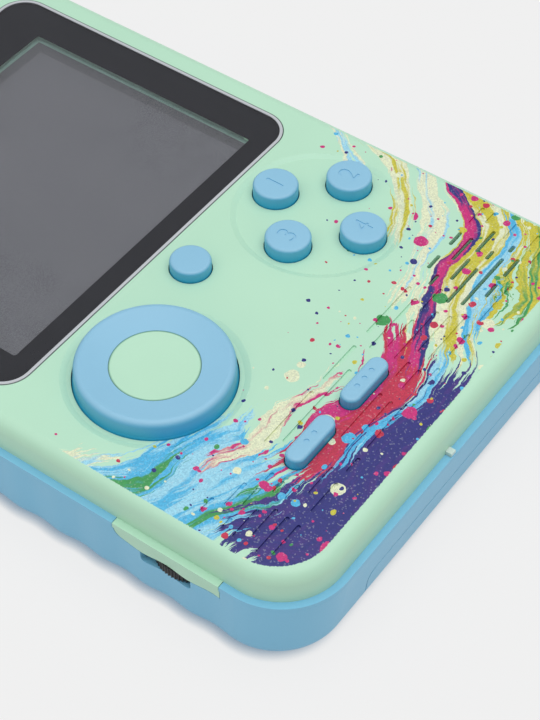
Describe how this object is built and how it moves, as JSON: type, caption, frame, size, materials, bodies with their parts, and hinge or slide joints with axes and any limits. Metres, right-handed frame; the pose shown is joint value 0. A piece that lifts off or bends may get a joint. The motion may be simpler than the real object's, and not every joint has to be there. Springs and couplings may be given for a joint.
{
  "type": "handheld game console",
  "caption": "Flat pocket game console with a colour screen, round direction rocker, diamond of action buttons, pill buttons, volume wheel, speaker, ports and sliding battery door.",
  "frame": {"origin": "middle of the back, on the surface that it rests on", "axes": "+X the console's right, +Y up the screen, +Z out of the face"},
  "size_m": [0.086, 0.129, 0.0208],
  "materials": {
    "mint_shell": "satin, printed",
    "blue_shell": "satin",
    "silver_trim": "satin",
    "clear_lens": "clear",
    "black_film": "gloss under the lens",
    "lcd_grey": "satin",
    "white_tray": "matte",
    "amber_film": "gloss film",
    "blue_button": "satin",
    "mint_cap": "satin",
    "grey_rubber": "matte",
    "green_board": "solder mask",
    "black_chip": "matte",
    "steel": "plain",
    "black_plastic": "matte",
    "grey_paper": "matte",
    "wire_cover": "smooth cover",
    "pack_wrap": "shrink wrap",
    "contact_brass": "plain",
    "pale_pipe": "milky"
  },
  "bodies": {
    "chassis": {"front_shell": "mint_shell", "rear_shell": "blue_shell", "screen_trim": "silver_trim", "screen_lens": "clear_lens", "screen_mask": "black_film", "lcd_panel": "lcd_grey", "lcd_tray": "white_tray", "lcd_ribbon": "amber_film", "dpad_seat": "white_tray", "dpad_membrane": "grey_rubber", "action_membrane": "grey_rubber", "menu_membrane": "grey_rubber", "reset_membrane": "grey_rubber", "main_board": "green_board", "board_chips": "black_chip", "chip_cover": "steel", "speaker_frame": "black_plastic", "speaker_cone": "grey_paper", "speaker_magnet": "steel", "speaker_wires": "wire_cover", "volume_base": "black_chip", "power_switch_body": "steel", "usb_port": "steel", "pad_port": "steel", "av_jack": "black_plastic", "battery_pack": "pack_wrap", "battery_socket": "black_chip", "battery_contacts": "contact_brass", "charge_light": "pale_pipe", "shell_screws": "steel", "board_screws": "steel"},
    "dpad_gimbal": {"dpad_pivot": "steel"},
    "dpad_rocker": {"dpad_ring": "blue_button", "dpad_cap": "mint_cap"},
    "button_top": {"button_top": "blue_button"},
    "button_left": {"button_left": "blue_button"},
    "button_right": {"button_right": "blue_button"},
    "button_bottom": {"button_bottom": "blue_button"},
    "button_reset": {"button_reset": "blue_button"},
    "button_start": {"button_start": "blue_button"},
    "button_select": {"button_select": "blue_button"},
    "volume_wheel": {"volume_wheel": "black_plastic"},
    "power_slider": {"power_slider": "black_plastic"},
    "battery_door": {"battery_door": "blue_shell"}
  },
  "joints": [
    {"name": "dpad_tilt_x", "type": "hinge", "parent": "chassis", "child": "dpad_gimbal", "pos_m": [-0.02061, -0.02214, 0.014], "axis": [1, 0, 0], "range_deg": [-3.6, 3.6], "stiffness_Nm_per_rad": 0.2, "deforming": ["dpad_membrane"]},
    {"name": "dpad_tilt_y", "type": "hinge", "parent": "dpad_gimbal", "child": "dpad_rocker", "pos_m": [-0.02061, -0.02214, 0.014], "axis": [0, 1, 0], "range_deg": [-3.6, 3.6], "stiffness_Nm_per_rad": 0.2, "deforming": ["dpad_membrane"]},
    {"name": "press_top", "type": "slide", "parent": "chassis", "child": "button_top", "axis": [0, 0, -1], "range_m": [0, 0.0012], "stiffness_N_per_m": 1000, "deforming": ["action_membrane"]},
    {"name": "press_left", "type": "slide", "parent": "chassis", "child": "button_left", "axis": [0, 0, -1], "range_m": [0, 0.0012], "stiffness_N_per_m": 1000, "deforming": ["action_membrane"]},
    {"name": "press_right", "type": "slide", "parent": "chassis", "child": "button_right", "axis": [0, 0, -1], "range_m": [0, 0.0012], "stiffness_N_per_m": 1000, "deforming": ["action_membrane"]},
    {"name": "press_bottom", "type": "slide", "parent": "chassis", "child": "button_bottom", "axis": [0, 0, -1], "range_m": [0, 0.0012], "stiffness_N_per_m": 1000, "deforming": ["action_membrane"]},
    {"name": "press_reset", "type": "slide", "parent": "chassis", "child": "button_reset", "axis": [0, 0, -1], "range_m": [0, 0.0012], "stiffness_N_per_m": 1000, "deforming": ["reset_membrane"]},
    {"name": "press_start", "type": "slide", "parent": "chassis", "child": "button_start", "axis": [0, 0, -1], "range_m": [0, 0.0012], "stiffness_N_per_m": 1000, "deforming": ["menu_membrane"]},
    {"name": "press_select", "type": "slide", "parent": "chassis", "child": "button_select", "axis": [0, 0, -1], "range_m": [0, 0.0012], "stiffness_N_per_m": 1000, "deforming": ["menu_membrane"]},
    {"name": "volume_turn", "type": "hinge", "parent": "chassis", "child": "volume_wheel", "pos_m": [-0.03683, -0.0417, 0.00875], "axis": [0, 0, 1], "range_deg": [-140, 140]},
    {"name": "power_slide", "type": "slide", "parent": "chassis", "child": "power_slider", "axis": [1, 0, 0], "range_m": [0, 0.0022]},
    {"name": "door_slide", "type": "slide", "parent": "chassis", "child": "battery_door", "axis": [0, -1, 0], "range_m": [0, 0.045]}
  ]
}
